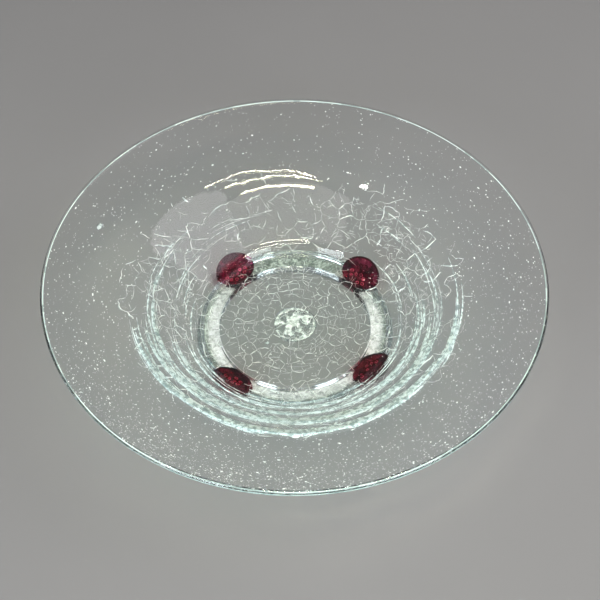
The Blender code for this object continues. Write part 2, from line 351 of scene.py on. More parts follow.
def ground_glass():
    """Ground white face, mottled, with painted shade: grey at the back, partly grey at the front, and also
    grey towards its outer edge.
    """
    material, tree = new_material("ground_glass")
    shader = glass_shader(tree, (0.97, 1.0, 0.99), 0.7, transmission=0.0)
    mottle = object_noise(tree, 300.0, 6.0, distortion=1.4)
    white = [(0.32, (0.28, 0.262, 0.285)), (0.46, (0.55, 0.505, 0.555)), (0.6, (0.77, 0.70, 0.775))]
    grey = [(0.38, (0.10, 0.115, 0.11)), (0.5, (0.28, 0.30, 0.29)), (0.62, (0.62, 0.64, 0.63))]
    # deep is the face's own mottled white; light is the painted shade of the back and front, and it also
    # greys the outer edge
    deep, light = ramp(tree, mottle, white), ramp(tree, mottle, grey)
    place = tree.nodes.new("ShaderNodeTexCoord")
    split = tree.nodes.new("ShaderNodeSeparateXYZ")
    tree.links.new(place.outputs["Object"], split.inputs["Vector"])
    # Painted shade: the face turns grey towards the back and, partly, towards the front, the sides that
    # catch less light; it also turns grey towards its outer edge.
    painted_shade_back = map_range(tree, split.outputs["Y"], 0.012, 0.05)
    reach = tree.nodes.new("ShaderNodeVectorMath")
    reach.operation = "LENGTH"
    tree.links.new(place.outputs["Object"], reach.inputs[0])
    to_outside = map_range(tree, reach.outputs["Value"], 0.0540, 0.0585)
    painted_shade_front = map_range(tree, split.outputs["Y"], -0.025, -0.085)
    spread = maximum(tree, maximum(tree, painted_shade_back, to_outside), painted_shade_front)
    mix = tree.nodes.new("ShaderNodeMix")
    mix.data_type = "RGBA"
    tree.links.new(spread, mix.inputs["Factor"])
    tree.links.new(deep, mix.inputs["A"])
    lines = ramp(tree, fine_lines(tree, reach.outputs["Value"], 5200.0), [(0.2, 0.4), (0.7, 1.0)])
    lined = tree.nodes.new("ShaderNodeMix")
    lined.data_type, lined.blend_type = "RGBA", "MULTIPLY"
    lined.inputs["Factor"].default_value = 1.0
    tree.links.new(light, lined.inputs["A"])
    tree.links.new(lines, lined.inputs["B"])
    tree.links.new(lined.outputs["Result"], mix.inputs["B"])
    tree.links.new(mix.outputs["Result"], shader.inputs["Base Color"])
    tree.links.new(ramp(tree, mottle, [(0.3, 0.4), (0.7, 0.8)]), shader.inputs["Roughness"])
    tree.links.new(bump(tree, object_noise(tree, 900.0, 4.0), 0.5, 0.0003), shader.inputs["Normal"])
    let_light_through(tree, shader, (0.6, 0.64, 0.63))
    return material


# The front prunts use a denser copy of the same glass: painted shade that makes them darker than the back
# pair.
PALE_DENSITY, SHADED_PRUNT_DENSITY = 340.0, 620.0


def amethyst_glass(name, density):
    """Red-purple glass, streaked as it was gathered, dark wherever it is thick."""
    material, tree = new_material(name)
    shader = glass_shader(tree, (0.86, 0.36, 0.52), 0.02)
    streaks = object_noise(tree, 130.0, 3.0, distortion=0.8)
    reds = [(0.36, (0.10, 0.01, 0.035)), (0.5, (0.50, 0.09, 0.22)), (0.66, (0.97, 0.36, 0.56))]
    colour = ramp(tree, streaks, reds)
    tree.links.new(colour, shader.inputs["Base Color"])
    tree.links.new(bump(tree, object_noise(tree, 300.0, 2.0), 0.12, 0.0003), shader.inputs["Normal"])
    output = let_light_through(tree, shader, (0.75, 0.3, 0.45))
    absorb(tree, output, (0.88, 0.0, 0.42), density)
    return material


def white_shards(name, transmission, dull, bright, scale):
    """Broken faces inside the glass, which throw back white light unevenly; also the white of painted
    highlights: the seeds, the rim line and the prunts' glints.
    """
    material, tree = new_material(name)
    shader = glass_shader(tree, bright, 0.3, transmission=transmission, ior=1.45)
    patches = object_noise(tree, scale, 4.0, distortion=0.5)
    tree.links.new(ramp(tree, patches, [(0.32, dull), (0.62, bright)]), shader.inputs["Base Color"])
    tree.links.new(ramp(tree, patches, [(0.35, 0.12), (0.7, 0.5)]), shader.inputs["Roughness"])
    tree.links.new(bump(tree, object_noise(tree, scale * 3, 3.0), 0.3, 0.0002), shader.inputs["Normal"])
    let_light_through(tree, shader, (0.94, 0.96, 0.96))
    return material


def broken_glass():
    """The clear part of the broken stub, sharp and uneven."""
    material, tree = new_material("broken_glass")
    shader = glass_shader(tree, (0.97, 1.0, 0.99), 0.08)
    tree.links.new(
        ramp(tree, object_noise(tree, 300.0, 3.0), [(0.3, (0.88, 0.95, 0.93)), (0.6, (1.0, 1.0, 1.0))]),
        shader.inputs["Base Color"],
    )
    tree.links.new(bump(tree, object_noise(tree, 500.0, 4.0), 0.7, 0.0006), shader.inputs["Normal"])
    let_light_through(tree, shader, (0.9, 0.94, 0.93))
    return material


def floor_paint():
    material, tree = new_material("studio_floor")
    shader = tree.nodes.new("ShaderNodeBsdfPrincipled")
    shader.inputs["Roughness"].default_value = 0.8
    shades = [(0.3, (0.19, 0.191, 0.2)), (0.7, (0.205, 0.206, 0.214))]
    shade = ramp(tree, object_noise(tree, 3.0, 4.0), shades)
    tree.links.new(shade, shader.inputs["Base Color"])
    output = tree.nodes.new("ShaderNodeOutputMaterial")
    tree.links.new(shader.outputs["BSDF"], output.inputs["Surface"])
    return material


# ---------------------------------------------------------------- mesh helpers

def add_object(name, vertices, faces, material, smooth=True):
    mesh = bpy.data.meshes.new(name)
    mesh.from_pydata([tuple(v) for v in vertices], [], faces)
    mesh.validate()
    mesh.update()
    if smooth:
        mesh.shade_smooth()
    obj = bpy.data.objects.new(name, mesh)
    bpy.context.scene.collection.objects.link(obj)
    if material is not None:
        mesh.materials.append(material)
    return obj


def lathe(name, outline, steps, material, shift=None):
    """Turns a closed outline (clockwise, r and z) about Z; shift adds the unevenness of hand work."""
    vertices, rings = [], []
    for r, z in outline:
        if r < 1e-6:
            rings.append([len(vertices)])
            vertices.append(Vector((0.0, 0.0, z)))
            continue
        rings.append(list(range(len(vertices), len(vertices) + steps)))
        for k in range(steps):
            angle = TURN * k / steps
            point = Vector((r * math.cos(angle), r * math.sin(angle), z))
            vertices.append(point if shift is None else shift(point))
    faces = []
    closed = len(rings[0]) > 1
    pairs = list(zip(rings, rings[1:] + rings[:1])) if closed else list(zip(rings, rings[1:]))
    for upper, lower in pairs:
        for k in range(steps):
            n = (k + 1) % steps
            if len(upper) == 1:
                faces.append((upper[0], lower[k], lower[n]))
            elif len(lower) == 1:
                faces.append((upper[k], lower[0], upper[n]))
            else:
                faces.append((upper[k], lower[k], lower[n], upper[n]))
    return add_object(name, vertices, faces, material)


def disc_faces(rings, steps):
    """Faces of a closed disc whose two sides are each a centre point and rings of steps points."""
    half = 1 + rings * steps

    def index(side, i, k):
        return side * half + (0 if i == 0 else 1 + (i - 1) * steps + k % steps)

    faces = []
    for side in (0, 1):
        for i in range(rings):
            for k in range(steps):
                corners = ((i, k), (i + 1, k), (i + 1, k + 1), (i, k + 1))
                quad = list(dict.fromkeys(index(side, *corner) for corner in corners))
                faces.append(tuple(quad if side == 0 else quad[::-1]))
    for k in range(steps):
        edge = (index(0, rings, k), index(1, rings, k), index(1, rings, k + 1), index(0, rings, k + 1))
        faces.append(edge)
    return faces


def cut(obj, other, operation="DIFFERENCE"):
    modifier = obj.modifiers.new(other.name, "BOOLEAN")
    modifier.operation = operation
    modifier.solver = "EXACT"
    modifier.object = other


def settle(obj):
    """Leaves the object with its modifiers' result as its mesh."""
    graph = bpy.context.evaluated_depsgraph_get()
    mesh = bpy.data.meshes.new_from_object(obj.evaluated_get(graph))
    obj.modifiers.clear()
    obj.data = mesh
    return obj


def discard(*objects):
    for obj in objects:
        bpy.data.objects.remove(obj, do_unlink=True)


# ---------------------------------------------------------------- bowl body

def body_outline():
    (r0, z0, _), (r1, z1) = INSIDE[-1], OUTSIDE[-1]
    centre = ((r0 + r1) / 2, (z0 + z1) / 2)
    half = math.hypot(r0 - r1, z0 - z1) / 2
    top = math.atan2(z0 - centre[1], r0 - centre[0])
    turns = [top - math.pi * i / 12 for i in range(13)]
    rim = [(centre[0] + half * math.cos(a), centre[1] + half * math.sin(a)) for a in turns]
    return [(r, z) for r, z, _ in INSIDE[:-1]] + rim + OUTSIDE[-2::-1]


def make_body(material):
    return lathe("bowl_glass", body_outline(), 240, material, sway)


def make_rim_thread(material):
    """The pale line that light piped along the brim draws just inside the rim."""
    r = (INSIDE[-1][0] + OUTSIDE[-1][0]) / 2
    z = (INSIDE[-1][1] + OUTSIDE[-1][1]) / 2
    turns = [-TURN * i / 8 for i in range(8)]
    outline = [(r + 0.2 * MM * math.cos(a), z + 0.36 * MM * math.sin(a)) for a in turns]
    return lathe("rim_thread", outline, 360, material, sway)


# ---------------------------------------------------------------- cracks

# The cells are small up to this length along the surface
FLOOR_CELLS_END = 46.0 * MM

# Where the glass healed over each prunt
HEALED_PLACE = 62.0 * MM
HEALED_RADIUS = 12.0 * MM

# Inner radius, outer radius and number of cracks of each band that the neck's flaring drew out
SILK_BANDS = ((0.064, 0.070, 100), (0.0745, 0.0795, 190), (0.0835, 0.092, 450), (0.097, 0.1025, 360))


def crack_spacing(length):
    """Cell size along and round the surface: small on the floor, drawn out round the bowl at the neck."""
    if length < FLOOR_CELLS_END:
        return 6.0 * MM, 7.2 * MM
    if length < 84 * MM:
        return 8.4 * MM, 10.5 * MM
    return 5.4 * MM, 17.0 * MM


def crack_sites(rng):
    """Cell centres in rings, on a plan that lays the surface's length out flat from the middle."""
    sites = [(0.5 * MM, 0.0)]
    length = 6.0 * MM
    while length < 130 * MM:
        along, round_ = crack_spacing(length)
        jitter = 0.26 if length < FLOOR_CELLS_END else 0.36
        count = max(5, round(TURN * length / round_))
        turn = rng.random() * TURN
        for i in range(count):
            angle = turn + TURN * (i + rng.uniform(-jitter, jitter)) / count
            reach = length + rng.uniform(-jitter, jitter) * along
            sites.append((reach * math.cos(angle), reach * math.sin(angle)))
        length += along
    return sites


def circumcentre(a, b, c):
    d = 2 * (a.x * (b.y - c.y) + b.x * (c.y - a.y) + c.x * (a.y - b.y))
    if abs(d) < 1e-12:
        return None
    aa, bb, cc = a.length_squared, b.length_squared, c.length_squared
    return Vector((
        (aa * (b.y - c.y) + bb * (c.y - a.y) + cc * (a.y - b.y)) / d,
        (aa * (c.x - b.x) + bb * (a.x - c.x) + cc * (b.x - a.x)) / d,
    ))


def cell_edges(sites):
    """Edges between neighbouring cells, from the Delaunay triangles' circumcentres."""
    points, _, triangles, *_ = geometry.delaunay_2d_cdt([Vector(s) for s in sites], [], [], 0, 1e-7)
    centres = [circumcentre(*[points[i] for i in t]) for t in triangles]
    owners = {}
    for index, t in enumerate(triangles):
        for a, b in zip(t, t[1:] + t[:1]):
            owners.setdefault((min(a, b), max(a, b)), []).append(index)
    return [
        (centres[o[0]], centres[o[1]])
        for o in owners.values()
        if len(o) == 2 and centres[o[0]] is not None and centres[o[1]] is not None
    ]


def wander(start, end, rng, amount, steps):
    """A line from start to end with fractures' small changes of direction."""
    points = [start, end]
    while len(points) - 1 < steps:
        longer = []
        for a, b in zip(points, points[1:]):
            side = Vector((a.y - b.y, b.x - a.x))
            longer += [a, (a + b) / 2 + side * rng.uniform(-amount, amount)]
        points = longer + [points[-1]]
    return points


def blade(path, top, depth, half_width, lean, shards):
    """A thin wedge standing in the glass along a flat path, from a depth of top down to top + depth."""
    vertices, faces = shards
    sections = []
    last = len(path) - 1
    for i, p in enumerate(path):
        along = path[min(i + 1, last)] - path[max(i - 1, 0)]
        side = Vector((-along.y, along.x)).normalized()
        taper = min(1.0, 0.3 + 1.8 * min(i, last - i) / last)
        base = len(vertices)
        for reach, half, shift in ((0.0, 1.0, 0.0), (depth * taper, 0.4, lean * taper)):
            for sign in (-1.0, 1.0):
                q = p + side * (half_width * taper * half * sign + shift)
                vertices.append(in_wall(q.length, math.atan2(q.y, q.x), top + reach))
        sections.append((base, base + 1, base + 3, base + 2))
    for a, b in zip(sections, sections[1:]):
        for k in range(4):
            n = (k + 1) % 4
            faces.append((a[k], a[n], b[n], b[k]))
    faces.append(sections[0][::-1])
    faces.append(sections[-1])


def side_branch(a, b, rng):
    """A short crack that leaves the line from a to b at a steep angle."""
    start = a.lerp(b, rng.uniform(0.2, 0.8))
    along = (b - a).normalized()
    turn = rng.choice((-1, 1)) * rng.uniform(0.9, 2.0)
    heading = Vector((
        along.x * math.cos(turn) - along.y * math.sin(turn),
        along.x * math.sin(turn) + along.y * math.cos(turn),
    ))
    return start, start + heading * rng.uniform(2.5, 7.0) * MM


def facing_back(point):
    """0 at the front and sides, rising to 1 at the very back."""
    return max(0.0, point.y / max(point.length, 1e-6))


def over_prunt(point):
    """Whether a point of the plan lies over a prunt, where the glass healed as the prunt was put on."""
    place = in_wall(point.length, math.atan2(point.y, point.x), 0.0)
    for azimuth in PRUNTS.values():
        a = math.radians(azimuth)
        aside = Vector((place.x - HEALED_PLACE * math.cos(a), place.y - HEALED_PLACE * math.sin(a)))
        if aside.length < HEALED_RADIUS:
            return True
    return False


def skipped_in_wall(point):
    """Chance that a crack is missing: high in the back wall and beyond the neck at the back."""
    back = facing_back(point)
    if point.length > 0.1:
        return 0.3 + 0.7 * back
    return 0.1 + 0.6 * max(0.0, back - 0.45) * (1.0 if point.x < 0.03 else 0.3)


def add_network(rng, fine, deep):
    """The crackle: fine lines along the cells' edges, some of which go deep into the glass."""
    for a, b in cell_edges(crack_sites(rng)):
        middle = (a + b) / 2
        span, far = (b - a).length, max(a.length, b.length)
        on_floor = middle.length < 52 * MM
        chance = 0.14 if on_floor else skipped_in_wall(middle)
        unfit = far > 119 * MM or span > 40 * MM or span < 0.8 * MM
        if unfit or rng.random() < chance or over_prunt(middle):
            continue
        path = wander(a, b, rng, 0.13, 4)
        top = rng.uniform(0.4, 1.0) * MM
        size = rng.uniform(0.5, 1.05) if on_floor else rng.uniform(0.5, 1.25)
        width = (0.068 if on_floor else 0.055) * size * MM
        blade(path, top, 0.5 * size * MM, width, rng.uniform(-0.3, 0.3) * MM, fine)
        if not on_floor and rng.random() < 0.35:
            depth, lean = rng.uniform(0.8, 1.8) * MM, rng.uniform(-0.8, 0.8) * MM
            blade(path, top + 0.3 * MM, depth, 0.05 * MM, lean, deep)
        for _ in range(rng.randint(0, 1)):
            start, end = side_branch(a, b, rng)
            if end.length < 116 * MM:
                blade(wander(start, end, rng, 0.12, 4), top, 0.25 * MM, 0.04 * MM, 0.1 * MM, fine)


def drawn_out(length, azimuth, reach, drift, rng):
    """A path along a circle round the bowl that drifts a little outwards or inwards."""
    path = []
    for k in range(-4, 5):
        a = azimuth + reach * k / 4 / length
        out = length + drift * k / 4 + rng.uniform(-0.18, 0.18) * MM
        path.append(Vector((out * math.cos(a), out * math.sin(a))))
    return path


def add_floor_arcs(rng, fine):
    """Fine arcs round the floor, where the glass spread as the bowl was spun out."""
    for _ in range(55):
        length = rng.uniform(0.018, 0.052)
        azimuth = rng.random() * TURN
        reach, drift = rng.uniform(2.5, 9.0) * MM, rng.uniform(-0.8, 0.8) * MM
        path = drawn_out(length, azimuth, reach, drift, rng)
        if not over_prunt(path[4]):
            blade(path, rng.uniform(0.4, 0.9) * MM, 0.25 * MM, rng.uniform(0.025, 0.05) * MM, 0.0, fine)


def add_splinters(rng, fine):
    """Short, close-set cracks where the wall broke finest: at the back right, and fewer at the left."""
    for _ in range(420):
        middle, spread = (28.0, 0.42) if rng.random() < 0.72 else (172.0, 0.3)
        azimuth = rng.gauss(math.radians(middle), spread)
        length = rng.uniform(0.066, 0.104)
        start = Vector((length * math.cos(azimuth), length * math.sin(azimuth)))
        heading = azimuth + math.pi / 2 + rng.gauss(0.0, 0.7)
        end = start + Vector((math.cos(heading), math.sin(heading))) * rng.uniform(1.5, 6.5) * MM
        if not over_prunt(start):
            path = wander(start, end, rng, 0.14, 4)
            top, depth = rng.uniform(0.4, 1.2) * MM, rng.uniform(0.2, 0.6) * MM
            width = rng.uniform(0.03, 0.07) * MM
            blade(path, top, depth, width, 0.1 * MM, fine)


def add_silk(rng, silk, fine):
    """Close-set cracks that the flaring of the neck drew out, in bands with clear glass between."""
    for inner, outer, count in SILK_BANDS:
        for _ in range(count):
            azimuth = rng.random() * TURN
            r = rng.uniform(inner, outer)
            front = -math.sin(azimuth)
            if rng.random() < 0.4 - 0.6 * front or (inner > 0.095 and front < 0.25 + 0.5 * rng.random()):
                continue
            if noise.noise(Vector((r * 330, azimuth * 2.2, inner * 900))) > 0.22:
                continue
            swing = 1.1 * math.sin(3 * azimuth + inner * 200) + 0.6 * math.sin(9 * azimuth + inner * 700)
            length = length_at(r + swing * MM)
            reach, drift = rng.uniform(7.0, 22.0) * MM, rng.uniform(-0.7, 0.7) * MM
            path = drawn_out(length, azimuth, reach, drift, rng)
            if rng.random() < 0.14:
                depth, width = rng.uniform(0.2, 0.6) * MM, rng.uniform(0.05, 0.09) * MM
                blade(path, 0.5 * MM, depth, width, 0.1 * MM, fine)
            else:
                depth, lean = rng.uniform(0.7, 2.3) * MM, rng.uniform(-0.6, 0.6) * MM
                blade(path, 0.4 * MM, depth, 0.05 * MM, lean, silk)


def add_ribbons(rng, silk):
    """Long cracks round the neck, close together in each band and drifting apart to leave dark lenses."""
    for inner, outer, count in SILK_BANDS:
        for _ in range(count // 10):
            start = -math.pi / 2 + rng.uniform(-1.5, 1.1)
            span = rng.uniform(0.35, 0.95)
            r = rng.uniform(inner, outer)
            swing, phase = rng.uniform(0.2, 0.9) * MM, rng.random() * TURN
            path = []
            for k in range(25):
                azimuth = start + span * k / 24
                out = length_at(r + swing * math.sin(5 * azimuth + phase)) + rng.uniform(-0.05, 0.05) * MM
                path.append(Vector((out * math.cos(azimuth), out * math.sin(azimuth))))
            depth, lean = rng.uniform(1.2, 2.4) * MM, rng.uniform(-0.5, 0.5) * MM
            blade(path, 0.35 * MM, depth, 0.05 * MM, lean, silk)


def add_shards(name, shards, material):
    obj = add_object(name, *shards, material, smooth=False)
    bm = bmesh.new()
    bm.from_mesh(obj.data)
    bmesh.ops.recalc_face_normals(bm, faces=bm.faces)
    bm.to_mesh(obj.data)
    bm.free()
    return obj


def make_cracks():
    fine, deep, silk = ([], []), ([], []), ([], [])
    rng = random.Random(11)
    add_network(rng, fine, deep)
    add_floor_arcs(rng, fine)
    add_splinters(rng, fine)
    add_silk(rng, silk, fine)
    add_ribbons(rng, silk)
    lines = white_shards("crack_lines", 0.0, (0.58, 0.64, 0.63), (1.0, 1.0, 1.0), 240.0)
    veils = white_shards("crack_veils", 0.6, (0.72, 0.78, 0.77), (0.97, 1.0, 0.99), 180.0)
    silky = white_shards("crack_silk", 0.5, (0.50, 0.60, 0.605), (0.90, 0.96, 0.97), 320.0)
    return (
        add_shards("well_cracks", fine, lines),
        add_shards("deep_cracks", deep, veils),
        add_shards("neck_cracks", silk, silky),
    )


# ---------------------------------------------------------------- bubbles

def ball_template(subdivisions):
    bm = bmesh.new()
    bmesh.ops.create_icosphere(bm, subdivisions=subdivisions, radius=1.0)
    vertices = [v.co.copy() for v in bm.verts]
    faces = [tuple(v.index for v in f.verts) for f in bm.faces]
    bm.free()
    return vertices, faces


def add_bubble(template, length, azimuth, depth, radius, stretch, bubbles):
    vertices, faces = bubbles
    centre = in_wall(length, azimuth, depth)
    out = (in_wall(length + MM, azimuth, depth) - centre).normalized()
    around = Vector((-math.sin(azimuth), math.cos(azimuth), 0.0))
    across = out.cross(around)
    base = len(vertices)
    for v in template[0]:
        stretched = around * v.x * radius * stretch
        vertices.append(centre + stretched + out * v.y * radius + across * v.z * radius * 0.8)
    faces.extend(tuple(base + i for i in f) for f in template[1])


def seed_radius(rng, typical, largest):
    return min(typical * math.exp(rng.gauss(0.0, 0.5)), largest)


def make_seeds(material):
    """Seed bubbles in the whole brim, fewer in the wall and floor, and fine ones near the front rim; each
    is an opaque white speck, a painted highlight in place of the light a bubble catches.
    """
    rng = random.Random(5)
    plain, fair = ball_template(0), ball_template(1)
    bubbles = ([], [])
    made = 0
    while made < 4300:
        azimuth = rng.random() * TURN
        if rng.random() > 0.62 - 0.38 * math.sin(azimuth):
            continue
        made += 1
        r = math.sqrt(rng.uniform(0.098 ** 2, 0.1485 ** 2))
        radius = seed_radius(rng, 0.15 * MM, 0.5 * MM)
        stretch = 1.0 + 1.6 * rng.random() ** 3
        template = plain if radius < 0.2 * MM else fair
        add_bubble(template, length_at(r), azimuth, rng.uniform(0.8, 2.3) * MM, radius, stretch, bubbles)
    for _ in range(1500):
        length = 0.098 * math.sqrt(rng.random())
        radius = seed_radius(rng, 0.14 * MM, 0.4 * MM)
        depth = rng.uniform(0.7, 2.0) * MM
        add_bubble(plain, length, rng.random() * TURN, depth, radius, 1.0 + rng.random() ** 2, bubbles)
    for _ in range(1700):
        azimuth = rng.gauss(math.radians(256.0), 0.5)
        r = 0.1485 - min(abs(rng.gauss(0.0, 0.012)), 0.045)
        radius = seed_radius(rng, 0.105 * MM, 0.28 * MM)
        depth, stretch = rng.uniform(0.8, 2.0) * MM, rng.uniform(1.0, 2.6)
        add_bubble(plain, length_at(r), azimuth, depth, radius, stretch, bubbles)
    return add_object("seed_bubbles", *bubbles, material)


def make_blisters(material):
    """The few bubbles large enough to be seen as bubbles: one in the brim at the left, two in the floor."""
    ball = ball_template(3)
    bubbles = ([], [])
    add_bubble(ball, length_at(0.129), math.radians(161.0), 1.58 * MM, 1.75 * MM, 1.7, bubbles)
    add_bubble(ball, length_at(0.024), math.radians(223.0), 2.4 * MM, 1.5 * MM, 1.0, bubbles)
    add_bubble(ball, length_at(0.036), math.radians(58.0), 2.2 * MM, 0.6 * MM, 1.0, bubbles)
    return add_object("blisters", *bubbles, material)


# ---------------------------------------------------------------- foot ring

def ring_outline(base):
    """Closed outline of the ring, with the fine ridges of hand tooling round its outer side."""
    radii = [RING_INNER + (RING_OUTER - RING_INNER) * i / 12 for i in range(13)]
    top = [(r, outside_height(r) + FUSED) for r in radii]
    outer_edge = RING_OUTER - RING_BASE_OUTER
    inner_edge = RING_BASE_INNER - RING_INNER
    high, low = top[-1][1] - 0.3 * MM, base + outer_edge
    ridges = [
        (RING_OUTER - 0.16 * MM * (1 - math.cos(TURN * 4 * k / 24)), high + (low - high) * k / 24)
        for k in range(1, 24)
    ]
    outer = [
        (RING_BASE_OUTER + outer_edge * math.cos(a), base + outer_edge - outer_edge * math.sin(a))
        for a in (math.pi / 2 * i / 6 for i in range(7))
    ]
    inner = [
        (RING_BASE_INNER - inner_edge * math.sin(a), base + inner_edge - inner_edge * math.cos(a))
        for a in (math.pi / 2 * i / 6 for i in range(7))
    ]
    return top + ridges + outer + inner


def prunt_matrix(azimuth):
    place = Matrix.Translation(Vector((PRUNT_CENTRE_RADIUS, 0.0, outside_height(PRUNT_CENTRE_RADIUS))))
    lean = Matrix.Rotation(-PRUNT_TILT, 4, "Y")
    stretch = Matrix.Diagonal((1.0, PRUNT_STRETCH, 1.0, 1.0))
    return Matrix.Rotation(math.radians(azimuth), 4, "Z") @ place @ lean @ stretch


def plan_ellipse(name, azimuth, grow):
    """An upright elliptical cylinder round a prunt: it flowed out further round the ring than across it."""
    column = lathe(name, [(0.0, HEIGHT), (1.0, HEIGHT), (1.0, -HEIGHT), (0.0, -HEIGHT)], 96, None)
    size = Matrix.Diagonal((PRUNT_ACROSS + grow, PRUNT_ALONG + grow, 1.0, 1.0))
    place = Matrix.Translation(Vector((PRUNT_MIDDLE, 0.0, 0.0)))
    column.matrix_world = Matrix.Rotation(math.radians(azimuth), 4, "Z") @ place @ size
    return column


def pocket_cutter(name, azimuth):
    matrix = prunt_matrix(azimuth)
    flange, face = PRUNT_FLANGE - 0.1 * MM, PRUNT_FACE - 0.1 * MM
    shoulder = [
        (face + (flange - face) * math.cos(a), -PRUNT_DEPTH * 0.85 * math.sin(a))
        for a in (math.pi / 2 * i / 6 for i in range(7))
    ]
    top, base = 9 * MM, -11 * MM
    outline = [(0.0, top), (flange, top), *shoulder, (face + 0.2 * MM, base), (0.0, base)]
    cutter = lathe(name, outline, 48, None)
    cutter.matrix_world = matrix
    core = lathe("core_" + name, core_outline(0.0), 96, None)
    column = plan_ellipse("column_" + name, azimuth, -FUSED)
    cut(cutter, core)
    cut(cutter, column, "INTERSECT")
    settle(cutter)
    discard(core, column)
    return cutter


def core_outline(extra):
    radius = RING_INNER + RING_LINING + extra
    return [(0.0, HEIGHT), (radius, HEIGHT), (radius, -HEIGHT), (0.0, -HEIGHT)]


def make_ring(glass, ground):
    ring = lathe("foot_ring_glass", ring_outline(0.22 * MM), 192, glass)
    face = [
        (RING_BASE_INNER - 0.9 * MM, 0.5 * MM),
        (RING_BASE_INNER, 0.18 * MM),
        (RING_BASE_OUTER, 0.18 * MM),
        (RING_BASE_OUTER + 0.9 * MM, 0.5 * MM),
        (RING_BASE_OUTER + 0.95 * MM, 0.4 * MM),
        (RING_BASE_OUTER + 0.2 * MM, 0.0),
        (RING_BASE_INNER - 0.2 * MM, 0.0),
        (RING_BASE_INNER - 0.95 * MM, 0.4 * MM),
    ]
    skin = lathe("foot_ring_ground_face", face, 192, ground)
    for name, azimuth in PRUNTS.items():
        cutter = pocket_cutter("pocket_" + name, azimuth)
        for obj in (ring, skin):
            cut(obj, cutter)
            settle(obj)
        discard(cutter)
    return ring, skin


# ---------------------------------------------------------------- raspberry prunts

def nodule_centres():
    centres = [(0.0, 0.0)]
    for ring in (1, 2):
        for i in range(6 * ring):
            angle = TURN * i / (6 * ring) + 0.1 * ring
            centres.append((ring * 3.5 * MM * math.cos(angle), ring * 3.5 * MM * math.sin(angle)))
    return centres


def stamped_depth(x, y, centres):
    """How far below the prunt's own plane its stamped side lies at (x, y)."""
    r = math.hypot(x, y)
    if r <= PRUNT_FACE:
        base = PRUNT_DEPTH * (0.86 + 0.14 * (1 - (r / PRUNT_FACE) ** 2)) - 0.5 * MM
    else:
        k = min((r - PRUNT_FACE) / (PRUNT_FLANGE - PRUNT_FACE), 1.0)
        base = (PRUNT_DEPTH * 0.86 + 0.15 * MM) * math.sqrt(max(1 - k ** 2.2, 0.0)) - 0.2 * MM * (1 - k)
    lump = 0.0
    for cx, cy in centres:
        d = math.hypot(x - cx, y - cy) / (1.7 * MM)
        if d < 1.0:
            lump = max(lump, 1.35 * MM * math.sqrt(1 - d * d))
    return base + lump


def make_prunt(name, azimuth, material, core):
    """A disc whose upper side lies along the body and whose lower side carries the berry stamp."""
    matrix = prunt_matrix(azimuth)
    centres = nodule_centres()
    rings, steps = 44, 120
    vertices = []

    def upper(x, y):
        z = 0.0
        for _ in range(12):
            p = matrix @ Vector((x, y, z))
            z += (outside_height(math.hypot(p.x, p.y)) + FUSED - p.z) / math.cos(PRUNT_TILT) * 0.8
        return matrix @ Vector((x, y, z))

    for side in ("upper", "lower"):
        for i in range(rings + 1):
            share = math.sin(math.pi / 2 * i / rings) if side == "upper" else i / rings
            reach = PRUNT_FLANGE * share
            for k in range(1 if i == 0 else steps):
                angle = TURN * k / steps
                x, y = reach * math.cos(angle), reach * math.sin(angle)
                if side == "upper":
                    vertices.append(upper(x, y))
                else:
                    point = matrix @ Vector((x, y, -stamped_depth(x, y, centres)))
                    point.z = max(point.z, 0.4 * MM)
                    vertices.append(point)
    faces = disc_faces(rings, steps)
    obj = add_object(name + "_berry", vertices, faces, material)
    column = plan_ellipse("column_" + name, azimuth, 0.0)
    cut(obj, core)
    cut(obj, column, "INTERSECT")
    settle(obj)
    discard(column)
    return obj


def add_ring(matrix, centre, radii, depth, tube, rings):
    """A closed thin ring, lying along a prunt's own plane at a depth below it."""
    vertices, faces = rings
    steps, around = 28, 6
    base = len(vertices)
    for i in range(steps):
        angle = TURN * i / steps
        for k in range(around):
            turn = TURN * k / around
            reach = tube * math.cos(turn)
            x = centre[0] + (radii[0] + reach) * math.cos(angle)
            y = centre[1] + (radii[1] + reach) * math.sin(angle)
            vertices.append(matrix @ Vector((x, y, -depth + tube * math.sin(turn))))
    for i in range(steps):
        for k in range(around):
            near, far = base + i * around, base + (i + 1) % steps * around
            beside = (k + 1) % around
            faces.append((near + k, far + k, far + beside, near + beside))


def make_glints(material):
    """Bright rings where light is caught round the nodules that face the bowl's middle."""
    rings = ([], [])
    rng = random.Random(17)
    for azimuth in PRUNTS.values():
        matrix = prunt_matrix(azimuth)
        for x, y in nodule_centres():
            if x > 0.6 * MM or rng.random() < 0.2:
                continue
            size = rng.uniform(0.75, 1.15) * MM
            depth, thickness = rng.uniform(1.6, 2.6) * MM, rng.uniform(0.16, 0.28) * MM
            add_ring(matrix, (x, y), (size, size * 0.9), depth, thickness, rings)
    return add_shards("prunt_glints", rings, material)


# ---------------------------------------------------------------- pontil scar

def scar_thickness(x, y):
    """How thick the broken stub is at (x, y): an uneven lip round a torn middle."""
    s = math.hypot(x, y) / SCAR_RADIUS
    lip = math.exp(-((s - 0.86) / 0.12) ** 2)
    middle = math.exp(-((s - 0.2) / 0.28) ** 2)
    torn = noise.fractal(Vector((x * 420, y * 420, 0.3)), 1.0, 2.0, 4)
    body = (0.25 + 0.75 * lip + 0.5 * middle) * (0.75 + 0.5 * torn)
    return SCAR_THICKNESS * min(max(body, 0.06), 0.95)


